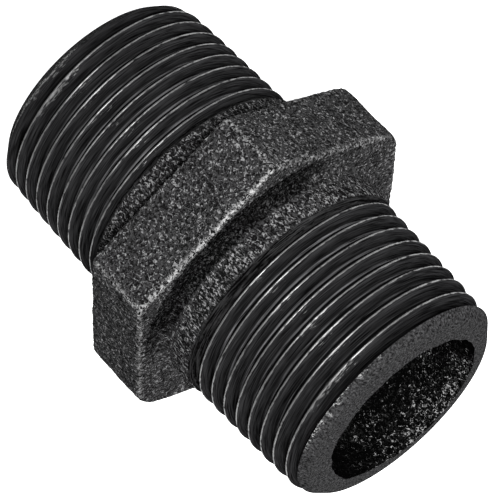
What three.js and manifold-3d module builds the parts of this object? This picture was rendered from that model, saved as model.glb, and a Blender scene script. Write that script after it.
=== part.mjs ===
// Hex nipple, 3/4 inch: one iron casting with a hexagonal wrench collar in the middle,
// a tapered right-hand pipe thread on each end and a plain cast bore right through.
// Millimetres. The bore runs along X, the two wide flats used for resting face +Z and -Z,
// and the origin is the middle of the piece on the bore's centre line.

import * as THREE from 'three';
import { mergeVertices } from 'three/addons/utils/BufferGeometryUtils.js';
import Module from 'manifold-3d';

const wasm = await Module();
wasm.setup();

// Driving dimensions.
const OVERALL_LENGTH = 48;
const ACROSS_FLATS = 33.5;
const HEX_WIDTH = 7.7;
const BORE_RADIUS = 9.3;

// The pipe thread: 14 turns to the inch, 55 degree flanks, 1 in 16 taper on the diameter.
const PITCH = 25.4 / 14;
const THREAD_DEPTH = 1.162;
const FLANK_ANGLE = THREE.MathUtils.degToRad(27.5);
const RADIUS_TAPER = 1 / 32;
const CREST_RADIUS = 13.4;
const THREAD_START = 7.5;
const RUNOUT_LENGTH = 1.2;
const RUNOUT_DIP = 0.1;

// Distance from the middle to a crest, measured on the +Y side before the rear end is turned
// round. The two ends were threaded in separate cuts, so they don't start alike.
const FRONT_CREST_PLACE = 8.43;
const REAR_CREST_PLACE = 8.17;

// The tip: the last turns get lower a little faster than the taper, then a chamfer runs to
// the end face.
const TIP_START = 19;
const EXTRA_TIP_TAPER = 0.04;
const LEAD_LENGTH = 1.2;
const LEAD_FACE_RADIUS = 11.6;
const LEAD_OUTER_RADIUS = 12.75;

// The cast collar. Its two corners on the mould's parting line are ground back to a flat,
// and its other corners and its edges are only blunted.
const PARTING_CORNER_REACH = 18.6;
const CORNER_BLUNTING = 0.5;
const EDGE_CHAMFER = 0.4;
const NECK_RADIUS = 13.5;
const NECK_FILLET = 0.8;
const NECK_OVERLAP = 1;

// How far a cutting shape reaches past what it cuts.
const CLEARANCE = 1;

const SEGMENTS = 36;
const HALF_LENGTH = OVERALL_LENGTH / 2;
const HALF_HEX = HEX_WIDTH / 2;

// Makes a solid from a closed three.js geometry.
function solidFrom(geometry) {
  const bare = geometry.clone();
  bare.deleteAttribute('normal');
  bare.deleteAttribute('uv');
  const merged = mergeVertices(bare, 1e-4);
  const vertProperties = new Float32Array(merged.attributes.position.array);
  const triVerts = new Uint32Array(merged.index.array);
  return new wasm.Manifold(new wasm.Mesh({ numProp: 3, vertProperties, triVerts }));
}

// Gives a solid's surface back as a three.js geometry.
function geometryFrom(solid) {
  const mesh = solid.getMesh();
  const geometry = new THREE.BufferGeometry();
  geometry.setAttribute('position', new THREE.BufferAttribute(mesh.vertProperties, 3));
  geometry.setIndex(new THREE.BufferAttribute(mesh.triVerts, 1));
  geometry.computeVertexNormals();
  return geometry;
}

// A solid of revolution round X. Each outline point is [place along X, radius],
// and the outline starts and ends on the axis.
function turned(outline) {
  const points = outline.map(([x, radius]) => new THREE.Vector2(radius, x));
  const geometry = new THREE.LatheGeometry(points, SEGMENTS);
  // The lathe turns round Y. Cycling the axes puts that on X and keeps the faces outward.
  const toX = new THREE.Matrix4().set(0, 1, 0, 0, 0, 0, 1, 0, 1, 0, 0, 0, 0, 0, 0, 1);
  return solidFrom(geometry.applyMatrix4(toX));
}

// The radius of the thread's crests at a distance from the middle of the piece.
function crestLine(fromMiddle) {
  const pastTipStart = Math.max(fromMiddle - TIP_START, 0);
  const drop = (fromMiddle - THREAD_START) * RADIUS_TAPER + pastTipStart * EXTRA_TIP_TAPER;
  return CREST_RADIUS - drop;
}

// A rod whose surface is the full helical thread, long enough to be trimmed at both ends.
// The grid's rows run along the thread groove: four rows make one pitch, and after one
// whole turn a row carries on as the row four places further along.
function threadedRod(crestPlace) {
  const rowsPerPitch = 4;
  const flankWidth = THREAD_DEPTH * Math.tan(FLANK_ANGLE);
  const flatHalf = (PITCH / 2 - flankWidth) / 4;
  const rowPlaces = [-flatHalf, flatHalf, PITCH / 2 - flatHalf, PITCH / 2 + flatHalf];
  const rowDepths = [0, 0, THREAD_DEPTH, THREAD_DEPTH];
  const turnsBefore = Math.ceil((crestPlace - THREAD_START) / PITCH) + 2;
  const turns = Math.ceil((HALF_LENGTH - THREAD_START) / PITCH) + 5;
  const lastRow = turns * rowsPerPitch;

  const positions = [];
  for (let row = 0; row <= lastRow; row++) {
    const turn = Math.floor(row / rowsPerPitch) - turnsBefore;
    const place = crestPlace + turn * PITCH + rowPlaces[row % rowsPerPitch];
    for (let step = 0; step < SEGMENTS; step++) {
      const angle = (step / SEGMENTS) * 2 * Math.PI;
      const x = place + (step / SEGMENTS) * PITCH;
      const radius = crestLine(x) - rowDepths[row % rowsPerPitch];
      positions.push(x, radius * Math.cos(angle), radius * Math.sin(angle));
    }
  }
  const vertex = (row, step) => (step < SEGMENTS
    ? row * SEGMENTS + step
    : (row + rowsPerPitch) * SEGMENTS + step - SEGMENTS);

  const faces = [];
  for (let row = 0; row < lastRow; row++) {
    for (let step = 0; step < SEGMENTS; step++) {
      if (step === SEGMENTS - 1 && row + 1 + rowsPerPitch > lastRow) continue;
      const a = vertex(row, step);
      const b = vertex(row + 1, step);
      const c = vertex(row + 1, step + 1);
      const d = vertex(row, step + 1);
      faces.push(a, c, b, a, d, c);
    }
  }

  // Each end is closed by a fan from a point on the axis to the helical edge.
  const startLoop = [];
  for (let step = 0; step < SEGMENTS; step++) startLoop.push(vertex(0, step));
  for (let row = rowsPerPitch; row > 0; row--) startLoop.push(vertex(row, 0));
  const endLoop = [];
  for (let step = 0; step < SEGMENTS; step++) endLoop.push(vertex(lastRow, step));
  for (let drop = 1; drop <= rowsPerPitch; drop++) {
    endLoop.push(vertex(lastRow - drop, SEGMENTS - 1));
  }
  const startCentre = positions.length / 3;
  positions.push(positions[0] + PITCH / 2, 0, 0);
  const endCentre = startCentre + 1;
  positions.push(positions[vertex(lastRow, 0) * 3] + PITCH / 2, 0, 0);
  startLoop.forEach((from, i) => {
    faces.push(startCentre, startLoop[(i + 1) % startLoop.length], from);
  });
  endLoop.forEach((from, i) => {
    faces.push(endCentre, from, endLoop[(i + 1) % endLoop.length]);
  });

  const geometry = new THREE.BufferGeometry();
  geometry.setAttribute('position', new THREE.Float32BufferAttribute(positions, 3));
  geometry.setIndex(faces);
  return solidFrom(geometry);
}

// One threaded end, from inside the neck to the end face, with the chamfer at its tip.
function threadedEnd(crestPlace) {
  const clearOfCrests = CREST_RADIUS + CLEARANCE;
  const chamferStart = HALF_LENGTH - LEAD_LENGTH;
  const chamferSlope = (LEAD_OUTER_RADIUS - LEAD_FACE_RADIUS) / LEAD_LENGTH;
  const envelope = turned([
    [THREAD_START - PITCH, 0],
    [THREAD_START - PITCH, clearOfCrests],
    [chamferStart - (clearOfCrests - LEAD_OUTER_RADIUS) / chamferSlope, clearOfCrests],
    [chamferStart, LEAD_OUTER_RADIUS],
    [HALF_LENGTH, LEAD_FACE_RADIUS],
    [HALF_LENGTH, 0],
  ]);
  return threadedRod(crestPlace).intersect(envelope);
}

// The neck on both sides of the collar. Its ends slope down to the bottom of the thread,
// as the die leaves them, and a fillet runs from the neck up the collar's faces.
function neck() {
  const rootRadius = CREST_RADIUS - THREAD_DEPTH;
  const runoutEnd = THREAD_START + RUNOUT_LENGTH;
  const filletMiddle = NECK_FILLET * (1 - Math.SQRT1_2);
  const half = [
    [HALF_HEX - NECK_OVERLAP, NECK_RADIUS + NECK_FILLET],
    [HALF_HEX, NECK_RADIUS + NECK_FILLET],
    [HALF_HEX + filletMiddle, NECK_RADIUS + filletMiddle],
    [HALF_HEX + NECK_FILLET, NECK_RADIUS],
    [THREAD_START, NECK_RADIUS],
    [runoutEnd, rootRadius - RUNOUT_DIP],
    [runoutEnd, 0],
  ];
  const mirrored = half.map(([x, radius]) => [-x, radius]).reverse();
  return turned([...mirrored, ...half]);
}

// The hexagonal collar, with a corner on +Y and -Y and a flat facing +Z and -Z.
// Each corner is cut across at its own reach from the axis, which leaves two points.
function collar() {
  const flatDistance = ACROSS_FLATS / 2;
  const cornerDistance = flatDistance / Math.cos(Math.PI / 6);
  const points = [];
  for (let corner = 0; corner < 6; corner++) {
    const angle = (corner * Math.PI) / 3;
    const onParting = corner % 3 === 0;
    const reach = onParting ? PARTING_CORNER_REACH : cornerDistance - CORNER_BLUNTING;
    const halfCut = (cornerDistance - reach) * Math.tan(Math.PI / 3);
    for (const side of [-halfCut, halfCut]) {
      const x = reach * Math.cos(angle) - side * Math.sin(angle);
      const y = reach * Math.sin(angle) + side * Math.cos(angle);
      points.push(new THREE.Vector2(x, y));
    }
  }
  const prism = new THREE.ExtrudeGeometry(new THREE.Shape(points), {
    depth: HEX_WIDTH - 2 * EDGE_CHAMFER,
    bevelSize: EDGE_CHAMFER,
    bevelOffset: -EDGE_CHAMFER,
    bevelThickness: EDGE_CHAMFER,
    bevelSegments: 1,
  });
  prism.translate(0, 0, EDGE_CHAMFER - HALF_HEX);
  prism.applyMatrix4(new THREE.Matrix4().set(0, 0, 1, 0, 1, 0, 0, 0, 0, 1, 0, 0, 0, 0, 0, 1));
  return solidFrom(prism);
}

// What is taken out for the bore.
function boreSpace() {
  const beyond = HALF_LENGTH + CLEARANCE;
  return turned([
    [-beyond, 0],
    [-beyond, BORE_RADIUS],
    [beyond, BORE_RADIUS],
    [beyond, 0],
  ]);
}

const front = threadedEnd(FRONT_CREST_PLACE);
const rear = threadedEnd(REAR_CREST_PLACE).rotate([0, 0, 180]);
const casting = collar().add(neck()).add(front).add(rear).subtract(boreSpace());

const blackIron = new THREE.MeshStandardMaterial({
  color: 0x2b2b2c,
  roughness: 0.6,
  metalness: 0.6,
});
const nipple = new THREE.Mesh(geometryFrom(casting), blackIron);
nipple.name = 'nipple_body';

const hexNipple = new THREE.Group();
hexNipple.add(nipple);

export default hexNipple;
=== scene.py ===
"""Hex nipple: one black iron casting with a wrench collar, two tapered threads and a cast bore."""
import math

import bmesh
import bpy
import numpy as np
from mathutils import Matrix, Vector


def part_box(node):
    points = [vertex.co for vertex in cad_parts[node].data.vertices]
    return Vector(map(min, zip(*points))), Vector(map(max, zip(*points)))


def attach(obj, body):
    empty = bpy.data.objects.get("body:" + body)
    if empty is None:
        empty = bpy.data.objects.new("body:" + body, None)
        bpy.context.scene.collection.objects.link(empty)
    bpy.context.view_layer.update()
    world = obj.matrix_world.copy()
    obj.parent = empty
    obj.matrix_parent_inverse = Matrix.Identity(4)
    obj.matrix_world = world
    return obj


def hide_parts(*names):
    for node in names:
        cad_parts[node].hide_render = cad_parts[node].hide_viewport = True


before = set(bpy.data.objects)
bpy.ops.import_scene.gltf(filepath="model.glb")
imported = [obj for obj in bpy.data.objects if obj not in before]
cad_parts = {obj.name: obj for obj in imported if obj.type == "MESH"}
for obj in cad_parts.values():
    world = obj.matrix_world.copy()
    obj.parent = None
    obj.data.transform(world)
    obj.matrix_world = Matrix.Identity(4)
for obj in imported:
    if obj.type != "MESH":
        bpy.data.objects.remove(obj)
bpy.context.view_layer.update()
NODE = "nipple_body"
NODE_LOW, NODE_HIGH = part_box(NODE)
MM = 0.001

bl_info = {
    "name": "Hex Nipple",
    "version": (1, 0, 0),
    "blender": (4, 5, 0),
    "location": "View3D > Sidebar > Hex Nipple",
    "description": "Models a cast hex nipple with real taper threads and its studio stage",
    "category": "Add Mesh",
}

# The order of the casting's material slots.
CAST_SKIN, CUT_THREAD, END_FACE, BORE_SKIN = range(4)

# Distance from the middle to a crest, on the +Y side before the rear end is turned round.
# The two ends were threaded in separate cuts, so they don't start alike.
FRONT_CREST_PLACE = 8.43 * MM
REAR_CREST_PLACE = 8.17 * MM

# The thread gets thinner by 1 in 16 on its diameter, and its flanks lean by 27.5 degrees.
# The points of a crest's or root's rounding lie at these angles from its middle, and the
# outer two are where the flanks start.
RADIUS_TAPER = 1 / 32
ROUNDING_DEGREES = (-62.5, -42, -21, 0, 21, 42, 62.5)

# How long the slope is on which the thread dies out in the neck, and how far it dips below
# the thread's root.
RUNOUT_LENGTH = 1.2 * MM
RUNOUT_DIP = 0.2 * MM

# How far the plain, unthreaded lip reaches back from the end face.
LIP_LENGTH = 0.85 * MM

# The bevel on the two edges of each corner that was ground flat on the parting line.
PARTING_BEVEL = 1.2 * MM

# How far a cutting or joining shape reaches past what it meets.
OVERLAP = MM

# The sand core sat low in the mould and a little to one side, and was slightly oval.
CORE_PLACE = (0, 0.1 * MM, -1.15 * MM)
CORE_SQUASH = (1, 0.975, 1)

# Where the crests and the end rims get the most painted highlight on their wear, in radians round
# the bore from +Y towards +Z.
CREST_HIGHLIGHT_SIDE = 1.7
RIM_HIGHLIGHT_SIDE = 1.8


def length_property(name, description, millimetres):
    return bpy.props.FloatProperty(
        name=name,
        description=description,
        default=millimetres * MM,
        unit="LENGTH",
        subtype="DISTANCE",
        precision=5,
    )


def colour_property(name, description, shade):
    return bpy.props.FloatVectorProperty(
        name=name,
        description=description,
        default=shade,
        size=3,
        min=0.0,
        max=1.0,
        subtype="COLOR",
    )


class NippleSizes(bpy.types.PropertyGroup):
    """Sizes of the casting. The overall ones come from the CAD frame."""

    half_length: length_property(
        "Half length", "From the middle to an end face", NODE_HIGH.x / MM
    )
    half_flats: length_property(
        "Half across flats", "From the axis to a wrench flat", NODE_HIGH.z / MM
    )
    parting_reach: length_property(
        "Parting corner reach", "From the axis to a corner ground flat", NODE_HIGH.y / MM
    )
    corner_blunting: length_property("Corner blunting", "Round on the other four corners", 0.5)
    edge_blunting: length_property("Edge blunting", "Round on the collar's face edges", 0.3)
    collar_width: length_property("Collar width", "Width of the hexagon along the bore", 7.7)
    neck_radius: length_property("Neck radius", "Radius of the plain neck", 13.5)
    neck_fillet: length_property("Neck fillet", "Fillet between neck and collar", 0.9)
    thread_start: length_property("Thread start", "From the middle to the thread", 7.5)
    crest_radius: length_property("Crest radius", "Thread radius where it starts", 13.4)
    pitch: length_property("Pitch", "Distance from crest to crest", 25.4 / 14)
    thread_depth: length_property("Thread depth", "From crest to root", 1.162)
    crest_rounding: length_property("Crest rounding", "Radius across a crest", 0.13)
    root_rounding: length_property("Root rounding", "Radius across a root", 0.249)
    trim_start: length_property("Trim start", "From the middle to where crests get lower", 19.0)
    trim_slope: bpy.props.FloatProperty(
        name="Trim slope",
        description="How much faster than the taper the crests get lower near the tip",
        default=0.04,
        subtype="FACTOR",
    )
    chamfer_start: length_property("Chamfer start", "From the middle to the end chamfer", 22.8)
    chamfer_radius: length_property("Chamfer radius", "Radius where the chamfer starts", 12.75)
    face_radius: length_property("Face radius", "Outer radius of the end faces", 11.6)
    bore_radius: length_property("Bore radius", "Radius of the cast bore", 9.55)
    skin_grain: length_property("Skin grain", "Mesh spacing on the cast skin", 0.245)


class NippleColours(bpy.types.PropertyGroup):
    """Colours of the four surfaces."""

    cast_dark: colour_property("Cast pits", "Colour in the pits of the skin", (0.006, 0.006, 0.006))
    cast_mid: colour_property("Cast skin", "Colour between pits and grains", (0.0255, 0.0255, 0.026))
    # The lightest grain colour is partly painted glints.
    cast_grain_and_glint: colour_property("Cast grains", "Colour on the grains", (0.2, 0.2, 0.202))
    thread: colour_property("Thread", "Colour of the cut thread", (0.013, 0.013, 0.0135))
    crest: colour_property("Crest", "Colour of the worn crests", (0.21, 0.21, 0.21))
    # The edge colour serves the worn edges and rims, and their painted highlight.
    edge: colour_property("Edge", "Colour of the collar's worn edges", (0.34, 0.34, 0.34))
    face: colour_property("End face", "Colour of the end faces", (0.024, 0.024, 0.0245))
    bore: colour_property("Bore", "Colour of the bore", (0.0012, 0.0012, 0.0012))


# ---------------------------------------------------------------- mesh helpers


def only(obj):
    """Deselects everything, then selects and activates one object."""
    if bpy.context.object and bpy.context.object.mode != "OBJECT":
        bpy.ops.object.mode_set(mode="OBJECT")
    bpy.ops.object.select_all(action="DESELECT")
    obj.select_set(True)
    bpy.context.view_layer.objects.active = obj


def settle(obj):
    """Puts the object's place, turn and scale into its mesh."""
    only(obj)
    bpy.ops.object.transform_apply(location=True, rotation=True, scale=True)


def edit_all(obj):
    """Goes into edit mode on one object with all of its mesh selected."""
    only(obj)
    bpy.ops.object.mode_set(mode="EDIT")
    bpy.ops.mesh.select_all(action="SELECT")


def apply_modifiers(obj):
    """Applies the object's modifiers in their order."""
    only(obj)
    for name in [m.name for m in obj.modifiers]:
        bpy.ops.object.modifier_apply(modifier=name)


def combine(obj, other, operation):
    """Joins, cuts or keeps the overlap of two closed meshes, and uses the second one up."""
    modifier = obj.modifiers.new(operation, "BOOLEAN")
    modifier.operation = operation
    modifier.solver = "MANIFOLD"
    modifier.object = other
    apply_modifiers(obj)
    bpy.data.objects.remove(other)


def merge_doubles(obj, distance):
    """Merges points that lie closer together than the distance.

    The usual operator can't go below 0.001 mm, which opens the casting's mesh.
    """
    mesh = bmesh.new()
    mesh.from_mesh(obj.data)
    bmesh.ops.remove_doubles(mesh, verts=mesh.verts, dist=distance)
    mesh.to_mesh(obj.data)
    mesh.free()


def coordinates(obj):
    """The mesh's points as rows of X, Y and Z."""
    points = np.empty(len(obj.data.vertices) * 3)
    obj.data.vertices.foreach_get("co", points)
    return points.reshape(-1, 3)


def set_coordinates(obj, points):
    """Puts the mesh's points in new places."""
    obj.data.vertices.foreach_set("co", points.ravel())
    obj.data.update()


def paint_all(obj, slot):
    """Gives the mesh the four slots and puts all its faces in one of them."""
    obj.data.materials.clear()
    for material in finishes():
        obj.data.materials.append(material)
    obj.data.polygons.foreach_set("material_index", [slot] * len(obj.data.polygons))


def line_object(name, points):
    """An open line of edges in the plane of X and Y."""
    mesh = bpy.data.meshes.new(name)
    edges = [(i, i + 1) for i in range(len(points) - 1)]
    mesh.from_pydata([(x, radius, 0.0) for x, radius in points], edges, [])
    obj = bpy.data.objects.new(name, mesh)
    bpy.context.scene.collection.objects.link(obj)
    return obj


def turned(name, outline, steps=128):
    """A solid spun round X from an outline of (place, radius) that starts and ends on the axis."""
    obj = line_object(name, outline)
    edit_all(obj)
    bpy.ops.mesh.spin(steps=steps, angle=2 * math.pi, center=(0, 0, 0), axis=(1, 0, 0))
    bpy.ops.mesh.select_all(action="SELECT")
    bpy.ops.mesh.remove_doubles(threshold=0.001 * MM)
    bpy.ops.mesh.normals_make_consistent(inside=False)
    bpy.ops.object.mode_set(mode="OBJECT")
    return obj


def roughen(obj, feature, height):
    """Pushes the surface in and out by a solid noise of that feature size and total height."""
    texture = bpy.data.textures.new(f"{obj.name}_clouds", "CLOUDS")
    texture.noise_scale = feature
    texture.noise_depth = 2
    modifier = obj.modifiers.new("Roughen", "DISPLACE")
    modifier.texture = texture
    modifier.texture_coords = "LOCAL"
    modifier.strength = height
    modifier.mid_level = 0.5
    apply_modifiers(obj)


# ---------------------------------------------------------------- materials


def times(colour, factor):
    """A colour made darker or lighter."""
    return tuple(c * factor for c in colour)


class Nodes:
    """A short way to write a material's node tree."""

    def __init__(self, name):
        self.material = bpy.data.materials.new(name)
        self.material.use_nodes = True
        self.tree = self.material.node_tree
        self.shader = self.tree.nodes["Principled BSDF"]

    def add(self, kind, **settings):
        """A new node with some of its settings given."""
        node = self.tree.nodes.new(kind)
        for key, value in settings.items():
            setattr(node, key, value)
        return node

    def link(self, source, target):
        self.tree.links.new(source, target)

    def place(self):
        """Each point's place on the object, which stays with the metal as it moves."""
        return self.add("ShaderNodeTexCoord").outputs["Object"]

    def stretched(self, place, factors):
        """A place with each direction multiplied by its own number."""
        node = self.add("ShaderNodeVectorMath", operation="MULTIPLY")
        self.link(place, node.inputs[0])
        node.inputs[1].default_value = factors
        return node.outputs[0]

    def noise(self, place, feature, detail, rough, curl=0.0):
        """A solid noise from 0 to 1 with features of that size, bent out of line by curl."""
        node = self.add("ShaderNodeTexNoise")
        node.inputs["Distortion"].default_value = curl
        node.inputs["Scale"].default_value = 1 / feature
        node.inputs["Detail"].default_value = detail
        node.inputs["Roughness"].default_value = rough
        self.link(place, node.inputs["Vector"])
        return node.outputs["Fac"]

    def attribute(self, name):
        """One of the numbers that mark_surface stores."""
        return self.add("ShaderNodeAttribute", attribute_name=name).outputs["Fac"]

    def turning_marks(self, place, width=0.14 * MM, length=2.4 * MM):
        """Fine lines that run round the bore's axis, as a cutting tool leaves them."""
        split = self.add("ShaderNodeSeparateXYZ")
        self.link(place, split.inputs[0])
        x, y, z = split.outputs
        squares = self.math("ADD", self.math("POWER", y, 2.0), self.math("POWER", z, 2.0))
        radius = self.math("SQRT", squares)
        join = self.add("ShaderNodeCombineXYZ")
        self.link(self.math("MULTIPLY", x, 1 / width), join.inputs[0])
        self.link(self.math("MULTIPLY", y, 1 / length), join.inputs[1])
        self.link(self.math("MULTIPLY", z, 1 / length), join.inputs[2])
        node = self.add("ShaderNodeTexNoise", noise_dimensions="4D")
        node.inputs["Scale"].default_value = 1.0
        node.inputs["Detail"].default_value = 2.0
        self.link(join.outputs[0], node.inputs["Vector"])
        self.link(self.math("MULTIPLY", radius, 1 / width), node.inputs["W"])
        return node.outputs["Fac"]

    def scuff(self, place):
        """A band of short scratches along the top of both threads, strongest along its middle."""
        band_middle = 1.1 * MM
        half_width = 2.6 * MM
        split = self.add("ShaderNodeSeparateXYZ")
        self.link(place, split.inputs[0])
        y, z = split.outputs[1:]
        from_middle = self.math("ABSOLUTE", self.math("SUBTRACT", y, band_middle))
        falling = self.math("MULTIPLY", from_middle, 1 / half_width)
        band = self.math("SUBTRACT", 1.0, falling, clamp=True)
        upper_half = self.math("MULTIPLY", z, 1 / MM, clamp=True)
        marks = self.turning_marks(place, 0.09 * MM, 0.7 * MM)
        scratches = self.ramp(marks, [(0.55, 0.0), (0.66, 0.9)])
        return self.math("MULTIPLY", self.math("MULTIPLY", band, upper_half), scratches)

    def ramp(self, source, stops):
        """Turns a number into a shade or colour, by stops of (number, shade or colour)."""
        node = self.add("ShaderNodeValToRGB")
        ramp = node.color_ramp
        while len(ramp.elements) < len(stops):
            ramp.elements.new(1.0)
        for element, (position, shade) in zip(ramp.elements, stops):
            element.position = position
            values = shade if hasattr(shade, "__len__") else (shade,) * 3
            element.color = (*values, 1.0)
        self.link(source, node.inputs["Fac"])
        return node.outputs["Color"]

    def math(self, operation, a, b=None, clamp=False):
        """One step of arithmetic on sockets or plain numbers."""
        node = self.add("ShaderNodeMath", operation=operation, use_clamp=clamp)
        for socket, value in zip(node.inputs, (a, b)):
            if value is None:
                continue
            if isinstance(value, (int, float)):
                socket.default_value = value
            else:
                self.link(value, socket)
        return node.outputs[0]

    def swing(self, source, amount):
        """A noise from 0 to 1 made to swing evenly about 0, times an amount."""
        return self.math("MULTIPLY", self.math("SUBTRACT", source, 0.5), amount)

    def mix(self, share, a, b):
        """The colour a where share is 0, and b where it is 1."""
        node = self.add("ShaderNodeMix", data_type="RGBA")
        self.link(share, node.inputs["Factor"])
        for name, value in (("A", a), ("B", b)):
            socket = [s for s in node.inputs if s.name == name and s.type == "RGBA"][0]
            if hasattr(value, "links"):
                self.link(value, socket)
            else:
                socket.default_value = (*value, 1.0)
        return [s for s in node.outputs if s.type == "RGBA"][0]

    def blend(self, share, a, b):
        """The number a where share is 0, and b where it is 1."""
        return self.math("ADD", a, self.math("MULTIPLY", share, self.math("SUBTRACT", b, a)))

    def bump(self, height, distance):
        """Relief that rises by the distance where the number goes from 0 to 1."""
        node = self.add("ShaderNodeBump")
        node.inputs["Strength"].default_value = 1.0
        node.inputs["Distance"].default_value = distance
        self.link(height, node.inputs["Height"])
        return node.outputs["Normal"]

    def finish(self, colour, roughness, normal):
        """Joins colour, roughness and relief to the shader, with no gloss over them."""
        self.link(colour, self.shader.inputs["Base Color"])
        self.link(roughness, self.shader.inputs["Roughness"])
        self.link(normal, self.shader.inputs["Normal"])
        self.shader.inputs["Specular IOR Level"].default_value = 0.0
        return self.material


def cast_skin_material(colours):
    """Sand-cast iron under black scale: tight grain with dark pits and bright high spots, the
    brightest of them painted glints.
    """
    n = Nodes("cast_skin")
    place = n.place()
    neck = n.attribute("neck")
    runout = n.attribute("runout")

    # On the necks the grain is longer along the bore and has more contrast.
    fine = n.noise(place, 0.29 * MM, 1.5, 0.5, curl=1.0)
    coarse = n.noise(n.stretched(place, (0.65, 1, 1)), 0.25 * MM, 1.5, 0.5, curl=0.9)
    contrast = n.math("ADD", 1.05, n.math("MULTIPLY", neck, 0.5))
    grain = n.math("ADD", n.swing(n.blend(neck, fine, coarse), contrast), 0.5)
    patches = n.noise(place, 2.5 * MM, 2.0, 0.5)
    level = n.math("ADD", grain, n.swing(patches, 0.15))
    # The top of this ramp paints glints on the grains.
    tone = n.ramp(
        level,
        [
            (0.38, colours.cast_dark),
            (0.47, colours.cast_mid),
            (0.6, times(colours.cast_mid, 1.5)),
            (0.7, colours.cast_grain_and_glint),
        ],
    )

    # Painted shade: the collar's face and fillet just above the necks are darkened, most near the
    # top and on the front side.
    ragged = n.swing(n.noise(place, 1.2 * MM, 2.0, 0.6), 1.4)
    painted_collar_shade = n.math("MULTIPLY", n.attribute("painted_collar_shade"), n.math("ADD", 1.0, ragged))
    painted_collar_shade = n.ramp(painted_collar_shade, [(0.25, 0.0), (0.7, 1.0)])
    shaded_grain = n.ramp(
        level,
        [
            (0.4, times(colours.cast_dark, 0.2)),
            (0.55, colours.cast_dark),
            (0.7, times(colours.cast_mid, 1.6)),
        ],
    )
    tone = n.mix(painted_collar_shade, tone, shaded_grain)

    # The die has turned the slope where the thread dies out.
    marks = n.turning_marks(place)
    streaks = n.ramp(marks, [(0.4, times(colours.cast_dark, 0.2)), (0.65, colours.cast_mid)])
    tone = n.mix(runout, tone, streaks)

    # The collar's edges are rubbed bright, most of all on the grains, with a painted highlight that
    # makes the upper front edge brightest.
    unevenness = n.math("ADD", 1.0, n.math("MULTIPLY", ragged, 2.0))
    rubbed_and_highlight = n.math("MULTIPLY", n.attribute("rubbed_and_highlight"), unevenness)
    grains = n.ramp(fine, [(0.42, 0.0), (0.58, 1.0)])
    rubbed_and_highlight = n.math("MULTIPLY", rubbed_and_highlight, grains, clamp=True)
    tone = n.mix(rubbed_and_highlight, tone, colours.edge)

    roughness = n.ramp(grain, [(0.35, 0.7), (0.7, 0.38)])
    return n.finish(tone, roughness, n.bump(n.blend(runout, grain, marks), 0.4 * MM))


def cut_thread_material(colours):
    """Cut and blackened thread flanks with turning marks and painted shade towards the roots, and
    crests worn to a lighter metal with a painted highlight along the top.
    """
    n = Nodes("cut_thread")
    place = n.place()
    depth = n.attribute("depth")
    patches = n.turning_marks(place, 0.24 * MM, 0.7 * MM)
    marks = n.turning_marks(place, 0.09 * MM, 3.2 * MM)

    # The crest wear and its painted highlight are broken up most where they are strongest.
    scuff = n.math("MULTIPLY", n.scuff(place), n.math("SUBTRACT", 1.0, depth))
    crest_wear_and_highlight = n.math("ADD", n.attribute("crest_wear_and_highlight"), scuff)
    unevenness = n.math("ADD", 0.8, n.math("MULTIPLY", crest_wear_and_highlight, 1.4))
    worn = n.math("ADD", crest_wear_and_highlight, n.swing(patches, unevenness))
    worn = n.ramp(worn, [(0.45, 0.0), (0.95, 1.0)])

    # Painted shade makes the flanks darker towards the root, and a painted highlight makes the
    # root's own line lighter again.
    streaks = n.ramp(marks, [(0.35, 0.0), (0.65, 1.0)])
    upper = n.mix(streaks, times(colours.thread, 0.25), times(colours.thread, 2.1))
    lower = n.mix(streaks, times(colours.thread, 0.02), times(colours.thread, 0.6))
    flank = n.mix(depth, upper, lower)
    root_highlight = n.mix(streaks, flank, times(colours.thread, 13))
    flank = n.mix(n.attribute("root"), flank, root_highlight)

    tone = n.mix(worn, flank, colours.crest)
    roughness = n.ramp(patches, [(0.3, 0.38), (0.7, 0.55)])
    n.link(n.math("MULTIPLY", worn, 0.8), n.shader.inputs["Metallic"])
    return n.finish(tone, roughness, n.bump(marks, 0.08 * MM))


def end_face_material(colours):
    """End faces, cut off smooth and darkened, with a fine grain and a rubbed outer rim that has a
    painted highlight on its upper side.
    """
    n = Nodes("end_face")
    place = n.place()
    grain = n.noise(place, 0.24 * MM, 2.0, 0.6, curl=0.5)
    tone = n.ramp(
        grain,
        [
            (0.33, times(colours.face, 0.2)),
            (0.5, colours.face),
            (0.7, times(colours.face, 2.4)),
        ],
    )
    patches = n.noise(place, 0.9 * MM, 2.0, 0.6)
    rim_wear_and_highlight = n.math("ADD", n.attribute("rim_wear_and_highlight"), n.swing(patches, 1.6))
    rim_wear_and_highlight = n.ramp(rim_wear_and_highlight, [(0.5, 0.0), (0.85, 1.0)])
    grains = n.ramp(grain, [(0.45, 0.0), (0.6, 1.0)])
    tone = n.mix(n.math("MULTIPLY", rim_wear_and_highlight, grains), tone, colours.edge)
    roughness = n.ramp(grain, [(0.3, 0.65), (0.7, 0.45)])
    return n.finish(tone, roughness, n.bump(grain, 0.25 * MM))


def bore_material(colours):
    """The cast bore: black and rough, with small painted glints in its colour, most of them low down
    at its mouths where painted light falls.
    """
    n = Nodes("bore_skin")
    place = n.place()
    grain = n.noise(place, 0.33 * MM, 1.5, 0.55, curl=1.2)
    patches = n.noise(place, 3.0 * MM, 1.0, 0.5)
    # Painted light: the lower wall near each mouth gets more glints, the sides and deeper parts
    # fewer.
    painted_mouth_light = n.math("MULTIPLY", n.math("SUBTRACT", n.attribute("painted_mouth_light"), 0.4), 0.19)
    level = n.math("ADD", grain, n.swing(patches, 0.25))
    level = n.math("ADD", level, painted_mouth_light)
    # The brightest stops are painted glints.
    tone = n.ramp(
        level,
        [
            (0.5, colours.bore),
            (0.65, times(colours.bore, 10)),
            (0.76, times(colours.bore, 230)),
        ],
    )
    roughness = n.ramp(grain, [(0.35, 0.6), (0.65, 0.35)])
    return n.finish(tone, roughness, n.bump(grain, 0.6 * MM))


_FINISHES = []


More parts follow.
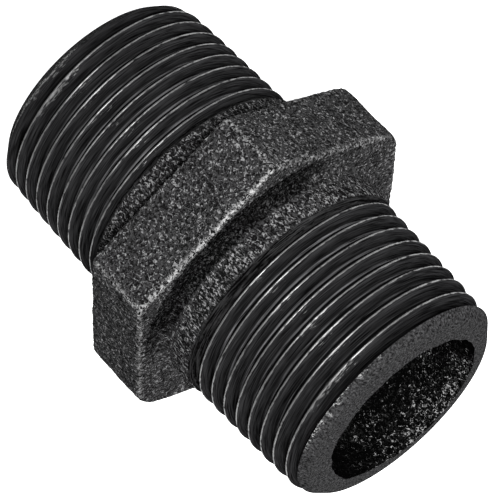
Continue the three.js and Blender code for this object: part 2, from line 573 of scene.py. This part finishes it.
def finishes():
    """The four materials in slot order, made once."""
    if not _FINISHES:
        colours = bpy.context.scene.nipple_colours
        _FINISHES.extend(
            [
                cast_skin_material(colours),
                cut_thread_material(colours),
                end_face_material(colours),
                bore_material(colours),
            ]
        )
    return _FINISHES


# ---------------------------------------------------------------- the casting


def select_edges(obj, wanted):
    """Selects the edges of a mesh whose two end points pass the test, and leaves edit mode on."""
    only(obj)
    bpy.ops.object.mode_set(mode="EDIT")
    bpy.ops.mesh.select_mode(type="EDGE")
    bpy.ops.mesh.select_all(action="DESELECT")
    bpy.ops.object.mode_set(mode="OBJECT")
    points = obj.data.vertices
    for edge in obj.data.edges:
        edge.select = wanted(*(points[v].co for v in edge.vertices))
    bpy.ops.object.mode_set(mode="EDIT")


def runs_along_bore(p, q):
    """Whether an edge joins the collar's two faces."""
    return abs(p.x - q.x) > MM


def hexagon(sizes):
    """The wrench collar: parting-line corners ground flat, all other edges blunted."""
    bpy.ops.mesh.primitive_cylinder_add(
        vertices=6,
        radius=sizes.half_flats / math.cos(math.pi / 6),
        depth=sizes.collar_width,
        rotation=(0, math.pi / 2, 0),
    )
    collar = bpy.context.object
    collar.name = "nipple_casting"
    settle(collar)
    select_edges(collar, lambda p, q: runs_along_bore(p, q) and abs(p.z) > MM)
    bpy.ops.mesh.bevel(offset=sizes.corner_blunting, segments=3)
    for side in (-1, 1):
        bpy.ops.mesh.select_all(action="SELECT")
        bpy.ops.mesh.bisect(
            plane_co=(0, side * sizes.parting_reach, 0),
            plane_no=(0, side, 0),
            use_fill=True,
            clear_outer=True,
        )
    near_parting = sizes.parting_reach - 0.1 * MM
    select_edges(collar, lambda p, q: runs_along_bore(p, q) and abs(p.y) > near_parting)
    bpy.ops.mesh.bevel(offset=PARTING_BEVEL, segments=4)
    bpy.ops.object.mode_set(mode="OBJECT")
    blunt = collar.modifiers.new("Blunt", "BEVEL")
    blunt.width = sizes.edge_blunting
    blunt.segments = 2
    blunt.limit_method = "ANGLE"
    blunt.angle_limit = math.radians(28)
    apply_modifiers(collar)
    return collar


def necks(sizes):
    """The two plain necks, each with a fillet up to the collar and a slope down to the thread."""
    half = sizes.collar_width / 2
    fillet = sizes.neck_fillet
    root = sizes.crest_radius - sizes.thread_depth
    runout_end = sizes.thread_start + RUNOUT_LENGTH
    fillet_steps = 5
    right = [(half - OVERLAP, sizes.neck_radius + fillet)]
    for step in range(fillet_steps + 1):
        angle = step / fillet_steps * math.pi / 2
        sunk = fillet * (1 - math.sin(angle))
        right.append((half + fillet * (1 - math.cos(angle)), sizes.neck_radius + sunk))
    right += [
        (sizes.thread_start, sizes.neck_radius),
        (runout_end, root - RUNOUT_DIP),
        (runout_end, 0),
    ]
    left = [(-x, radius) for x, radius in reversed(right)]
    return turned("necks", left + right)


def cast_body(sizes):
    """The wrench collar and both necks, skinned over and given the grain of a sand mould.

    The skin is roughened three times: a slow waviness, lumps, and grains of sand.
    """
    body = hexagon(sizes)
    combine(body, necks(sizes), "UNION")
    remesh = body.modifiers.new("Skin", "REMESH")
    remesh.mode = "VOXEL"
    remesh.voxel_size = sizes.skin_grain
    smooth = body.modifiers.new("Soften", "SMOOTH")
    smooth.factor = 0.5
    smooth.iterations = 3
    apply_modifiers(body)
    for feature, height in ((4.0, 0.16), (0.9, 0.14), (0.45, 0.12)):
        roughen(body, feature * MM, height * MM)
    paint_all(body, CAST_SKIN)
    return body


def crest_line(sizes, along):
    """Crest radius at a distance from the middle. It falls faster than the taper near the tip."""
    tapered = sizes.crest_radius - (along - sizes.thread_start) * RADIUS_TAPER
    return tapered - np.maximum(along - sizes.trim_start, 0) * sizes.trim_slope


def crest_and_root(sizes):
    """The outline of one turn: a rounded crest and a rounded root, as (place, depth)."""
    pattern = []
    for middle, start, rounding in (
        (0.0, 0.0, sizes.crest_rounding),
        (sizes.pitch / 2, sizes.thread_depth, -sizes.root_rounding),
    ):
        for degrees in ROUNDING_DEGREES:
            angle = math.radians(degrees)
            sunk = start + rounding * (1 - math.cos(angle))
            pattern.append((middle + abs(rounding) * math.sin(angle), sunk))
    return pattern


def close_rod_end(rod, middle, side):
    """Closes the open end on one side of the middle with a cone to the centre of its edge.

    The mesh has to be in edit mode, and stays in it.
    """
    bpy.ops.mesh.select_mode(type="EDGE")
    bpy.ops.mesh.select_all(action="DESELECT")
    bpy.ops.mesh.select_non_manifold()
    bpy.ops.object.mode_set(mode="OBJECT")
    mesh = rod.data
    for edge in mesh.edges:
        if edge.select:
            x = mesh.vertices[edge.vertices[0]].co.x
            edge.select = (x - middle) * side > 0
    used = {v for e in mesh.edges if e.select for v in e.vertices}
    for vertex in mesh.vertices:
        vertex.select = vertex.index in used
    bpy.ops.object.mode_set(mode="EDIT")
    bpy.ops.mesh.extrude_edges_move()
    bpy.ops.mesh.merge(type="CENTER")


def threaded_rod(name, sizes, crest_place):
    """A closed rod with the full helical thread, longer at both ends than the thread it gives."""
    turns = 14
    turns_before = 3
    outline = crest_and_root(sizes)
    profile = []
    for turn in range(turns):
        for place, sunk in outline:
            x = crest_place + (turn - turns_before) * sizes.pitch + place
            profile.append((x, sizes.crest_radius - sunk))
    rod = line_object(name, profile)
    screw = rod.modifiers.new("Thread", "SCREW")
    screw.axis = "X"
    screw.angle = 2 * math.pi
    screw.screw_offset = sizes.pitch
    screw.steps = screw.render_steps = 120
    screw.use_merge_vertices = False
    apply_modifiers(rod)

    # After one whole turn each line meets the one a pitch further along, and is merged with it.
    edit_all(rod)
    bpy.ops.mesh.remove_doubles(threshold=0.002 * MM)
    middle = crest_place + (turns / 2 - turns_before) * sizes.pitch
    for side in (-1, 1):
        close_rod_end(rod, middle, side)
    bpy.ops.mesh.select_all(action="SELECT")
    bpy.ops.mesh.quads_convert_to_tris()
    bpy.ops.mesh.normals_make_consistent(inside=False)
    bpy.ops.object.mode_set(mode="OBJECT")

    points = coordinates(rod)
    points[:, 1:] *= (crest_line(sizes, points[:, 0]) / sizes.crest_radius)[:, None]
    set_coordinates(rod, points)
    paint_all(rod, CUT_THREAD)
    return rod


def threaded_end(name, sizes, crest_place):
    """One threaded end on +X, trimmed to its end face and leading chamfer."""
    rod = threaded_rod(name, sizes, crest_place)
    inside_neck = sizes.thread_start - 2 * MM
    clear = sizes.crest_radius + OVERLAP
    envelope = turned(
        "envelope",
        [
            (inside_neck, 0),
            (inside_neck, clear),
            (sizes.chamfer_start - (clear - sizes.chamfer_radius), clear),
            (sizes.chamfer_start, sizes.chamfer_radius),
            (sizes.half_length, sizes.face_radius),
            (sizes.half_length, 0),
        ],
    )
    paint_all(envelope, END_FACE)
    combine(rod, envelope, "INTERSECT")

    # The lip at the very end is plain: this fills the groove's last turn.
    lip_start = sizes.half_length - LIP_LENGTH
    slope = (sizes.chamfer_radius - sizes.face_radius) / (sizes.half_length - sizes.chamfer_start)
    lip = turned(
        "lip",
        [
            (lip_start, 0),
            (lip_start, sizes.face_radius + LIP_LENGTH * slope),
            (sizes.half_length, sizes.face_radius),
            (sizes.half_length, 0),
        ],
    )
    paint_all(lip, END_FACE)
    combine(rod, lip, "UNION")
    return rod


def bore_core(sizes):
    """The sand core's shape, wavy and off the middle: what the bore leaves empty."""
    reach = sizes.half_length + OVERLAP
    rows = 110
    outline = [(-reach, 0)]
    for row in range(rows + 1):
        outline.append((-reach + 2 * reach * row / rows, sizes.bore_radius))
    outline.append((reach, 0))
    core = turned("bore_core", outline, 96)
    roughen(core, 3.2 * MM, 0.7 * MM)
    roughen(core, 0.9 * MM, 0.3 * MM)
    core.scale = CORE_SQUASH
    core.location = CORE_PLACE
    settle(core)
    paint_all(core, BORE_SKIN)
    return core


def clipped(values):
    """The values kept between 0 and 1."""
    return np.clip(values, 0, 1)


def store(obj, name, values):
    """Stores one number from 0 to 1 for each point, for the materials to read."""
    attribute = obj.data.attributes.new(name, "FLOAT", "POINT")
    attribute.data.foreach_set("value", clipped(values).astype(np.float32))


def round_from(points, angle):
    """1 on the side of the piece at that angle from +Y towards +Z, falling to -1 opposite it."""
    sideways = points[:, 2] * math.sin(angle) + points[:, 1] * math.cos(angle)
    return sideways / np.hypot(points[:, 1], points[:, 2])


def mark_collar(obj, sizes, points):
    """Stores rubbed_and_highlight, which is 1 on the collar's edges: rubbed wear with a painted
    highlight.
    """
    face_width = 0.45 * MM
    corner_width = 0.5 * MM
    along = np.abs(points[:, 0])
    flats = np.radians(np.arange(30, 360, 60))
    reach = np.outer(points[:, 1], np.cos(flats)) + np.outer(points[:, 2], np.sin(flats))
    reach.sort()
    in_flat = sizes.half_flats - reach[:, -1]
    in_face = sizes.collar_width / 2 - along
    # About how far a point of one flat lies from the corner beside it.
    in_corner = (reach[:, -1] - reach[:, -2]) * 1.2
    # Painted highlight on the rubbed edges: the front edge of the upper flat is brightest, the rear
    # edges the least.
    on_upper = points[:, 2] > sizes.half_flats - MM
    edge_highlight = np.where(points[:, 0] > 0, np.where(on_upper, 1.0, 0.3), 0.1)
    face_edge = edge_highlight * (1.3 - np.hypot(in_flat, in_face) / face_width)
    corner_edge = 0.6 * (1 - np.hypot(in_flat, in_corner) / corner_width)
    on_collar = along < sizes.collar_width / 2 + 0.3 * MM
    store(obj, "rubbed_and_highlight", np.maximum(face_edge, corner_edge) * on_collar)


def mark_thread(obj, sizes, points):
    """Stores what the thread and the end faces need.

    crest_wear_and_highlight: on the thread crests, with a painted highlight strongest along the top.
    root: on the bottom line of the thread groove, where the painted highlight goes.
    rim_wear_and_highlight: on the outer edge of the end chamfers, upper side only for its painted
    highlight, falling to 0 at the end faces.
    depth: from crest to root of the thread.
    """
    worn_depth = 0.09 * MM
    knocked_depth = 0.6 * MM
    knocked_from = 20 * MM
    root_width = 0.05 * MM
    along = np.abs(points[:, 0])
    sunk = crest_line(sizes, along) - np.hypot(points[:, 1], points[:, 2])
    on_thread = along > sizes.thread_start
    from_end = sizes.half_length - along

    # The crests are worn, and a painted highlight makes them brightest along the top; the last ones
    # before each tip are knocked flat.
    over_top = round_from(points, CREST_HIGHLIGHT_SIDE)
    crest_wear_and_highlight = (1 - sunk / worn_depth) * (0.74 + 0.3 * clipped(over_top))
    knocked = clipped((along - knocked_from) / MM) * clipped(over_top * 14 - 13)
    crest_wear_and_highlight = np.maximum(crest_wear_and_highlight, knocked * (0.85 - sunk / knocked_depth))
    store(obj, "crest_wear_and_highlight", on_thread * crest_wear_and_highlight)

    off_root = np.abs(sunk - sizes.thread_depth)
    store(obj, "root", on_thread * (1 - off_root / root_width))
    tip_length = sizes.half_length - sizes.chamfer_start
    # Painted highlight: only the upper side of the rim is lightened.
    highlight_side = clipped(round_from(points, RIM_HIGHLIGHT_SIDE) * 5 - 3.7)
    store(obj, "rim_wear_and_highlight", from_end / tip_length * highlight_side)
    store(obj, "depth", sunk / sizes.thread_depth)


def mark_neck(obj, sizes, points):
    """Stores what the cast skin needs beside the collar.

    neck: on the two plain necks.
    painted_collar_shade: painted shade on the collar's face and fillet just above the neck, most
    near the top.
    runout: on the slope where the thread dies out in the neck.
    """
    along = np.abs(points[:, 0])
    radius = np.hypot(points[:, 1], points[:, 2])
    past_face = along - sizes.collar_width / 2
    store(obj, "neck", (past_face - sizes.neck_fillet) / (0.4 * MM))
    # Painted shade above the neck: strongest near the top, weaker on the rear side.
    inside_flats = clipped((sizes.half_flats - 0.2 * MM - radius) / (0.5 * MM))
    before_neck = clipped((sizes.neck_fillet + 0.3 * MM - past_face) / (0.4 * MM))
    near_top = clipped(points[:, 2] / (8 * MM) - 0.6)
    painted_collar_shade = (past_face > -0.2 * MM) * inside_flats * before_neck * near_top
    painted_collar_shade *= np.where(points[:, 0] > 0, 1.0, 0.45)
    store(obj, "painted_collar_shade", painted_collar_shade)
    store(obj, "runout", (along - sizes.thread_start + 0.3 * MM) / (0.3 * MM))


def mark_bore(obj, sizes, points):
    """Stores painted_mouth_light, painted light which is 1 on the lower wall of the bore at its
    ends.
    """
    mouth_length = 9 * MM
    radius = np.hypot(points[:, 1], points[:, 2])
    from_end = sizes.half_length - np.abs(points[:, 0])
    low_wall = clipped(-2.2 * points[:, 2] / radius - 1.1)
    store(obj, "painted_mouth_light", low_wall * (1 - from_end / mouth_length))


def mark_surface(obj, sizes):
    """Stores what the materials need to know of each point."""
    points = coordinates(obj)
    mark_collar(obj, sizes, points)
    mark_thread(obj, sizes, points)
    mark_neck(obj, sizes, points)
    mark_bore(obj, sizes, points)


class NIPPLE_OT_add_casting(bpy.types.Operator):
    """Model the nipple: one casting with collar, necks, threads and bore"""

    bl_idname = "nipple.add_casting"
    bl_label = "Add Casting"
    bl_options = {"REGISTER", "UNDO"}

    def execute(self, context):
        sizes = context.scene.nipple_sizes
        casting = cast_body(sizes)
        front = threaded_end("front_thread", sizes, FRONT_CREST_PLACE)
        rear = threaded_end("rear_thread", sizes, REAR_CREST_PLACE)
        rear.data.transform(Matrix.Rotation(math.pi, 4, "Z"))
        combine(casting, front, "UNION")
        combine(casting, rear, "UNION")
        combine(casting, bore_core(sizes), "DIFFERENCE")
        merge_doubles(casting, 0.0001 * MM)
        mark_surface(casting, sizes)
        only(casting)
        bpy.ops.object.shade_smooth_by_angle(angle=math.radians(40))
        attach(casting, "root")
        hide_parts(NODE)
        return {"FINISHED"}


# ---------------------------------------------------------------- the stage


def add_floor():
    """A pale paper floor just under the piece, bright enough for its own shadow to fade."""
    # The rough lower flat reaches a little below the frame's box.
    gap = 0.1 * MM
    bpy.ops.object.select_all(action="DESELECT")
    bpy.ops.mesh.primitive_plane_add(size=4, location=(0, 0, NODE_LOW.z - gap))
    floor = bpy.context.object
    floor.name = "floor"
    settle(floor)
    paper = Nodes("floor_paper")
    inputs = paper.shader.inputs
    inputs["Base Color"].default_value = (0.7, 0.7, 0.7, 1)
    inputs["Roughness"].default_value = 0.9
    inputs["Emission Color"].default_value = (1, 1, 1, 1)
    inputs["Emission Strength"].default_value = 1.0
    floor.data.materials.append(paper.material)


def add_world():
    """A faint white light from all round."""
    world = bpy.data.worlds.new("studio")
    world.use_nodes = True
    inputs = world.node_tree.nodes["Background"].inputs
    inputs["Color"].default_value = (1, 1, 1, 1)
    inputs["Strength"].default_value = 0.05
    bpy.context.scene.world = world


def add_key_light():
    """One soft round light above the front end, aimed at the middle of the piece."""
    place = Vector((0.26, 0.06, 0.47))
    data = bpy.data.lights.new("key", "AREA")
    data.shape = "DISK"
    data.size = 0.14
    data.energy = 6.6
    light = bpy.data.objects.new("key", data)
    bpy.context.scene.collection.objects.link(light)
    light.location = place
    light.rotation_mode = "QUATERNION"
    light.rotation_quaternion = (-place).to_track_quat("-Z", "Y")


def add_camera():
    """A long lens looking down from the front end, rolled so that the bore runs diagonally."""
    azimuth = math.radians(107.7)
    elevation = math.radians(66.1)
    roll = math.radians(-63.0)
    distance = 0.376
    to_camera = Vector((
        math.sin(azimuth) * math.cos(elevation),
        -math.cos(azimuth) * math.cos(elevation),
        math.sin(elevation),
    ))
    data = bpy.data.cameras.new("camera")
    data.lens = 267.2
    data.sensor_width = 36
    data.shift_x = 0.0077
    data.shift_y = -0.0074
    data.clip_start = 0.01
    data.clip_end = 10
    camera = bpy.data.objects.new("camera", data)
    bpy.context.scene.collection.objects.link(camera)
    camera.rotation_mode = "QUATERNION"
    level = (-to_camera).to_track_quat("-Z", "Y")
    camera.rotation_quaternion = level @ Matrix.Rotation(roll, 4, "Z").to_quaternion()
    camera.location = to_camera * distance
    bpy.context.scene.camera = camera


class NIPPLE_OT_add_stage(bpy.types.Operator):
    """Set the plain pale floor, the soft studio light and the camera"""

    bl_idname = "nipple.add_stage"
    bl_label = "Add Stage"
    bl_options = {"REGISTER", "UNDO"}

    def execute(self, context):
        context.scene.view_settings.view_transform = "Standard"
        add_floor()
        add_world()
        add_key_light()
        add_camera()
        return {"FINISHED"}


class NIPPLE_PT_panel(bpy.types.Panel):
    """Lists the sizes, the colours and the buttons that build the nipple"""

    bl_label = "Hex Nipple"
    bl_idname = "NIPPLE_PT_panel"
    bl_space_type = "VIEW_3D"
    bl_region_type = "UI"
    bl_category = "Hex Nipple"

    def draw(self, context):
        layout = self.layout
        for group in (context.scene.nipple_sizes, context.scene.nipple_colours):
            box = layout.box()
            for name in group.__annotations__:
                box.prop(group, name)
        layout.operator(NIPPLE_OT_add_casting.bl_idname)
        layout.operator(NIPPLE_OT_add_stage.bl_idname)


CLASSES = (
    NippleSizes,
    NippleColours,
    NIPPLE_OT_add_casting,
    NIPPLE_OT_add_stage,
    NIPPLE_PT_panel,
)


def register():
    for cls in CLASSES:
        bpy.utils.register_class(cls)
    bpy.types.Scene.nipple_sizes = bpy.props.PointerProperty(type=NippleSizes)
    bpy.types.Scene.nipple_colours = bpy.props.PointerProperty(type=NippleColours)


def unregister():
    del bpy.types.Scene.nipple_colours
    del bpy.types.Scene.nipple_sizes
    for cls in reversed(CLASSES):
        bpy.utils.unregister_class(cls)


def main():
    register()
    bpy.ops.nipple.add_casting()
    bpy.ops.nipple.add_stage()


if __name__ == "__main__":
    main()
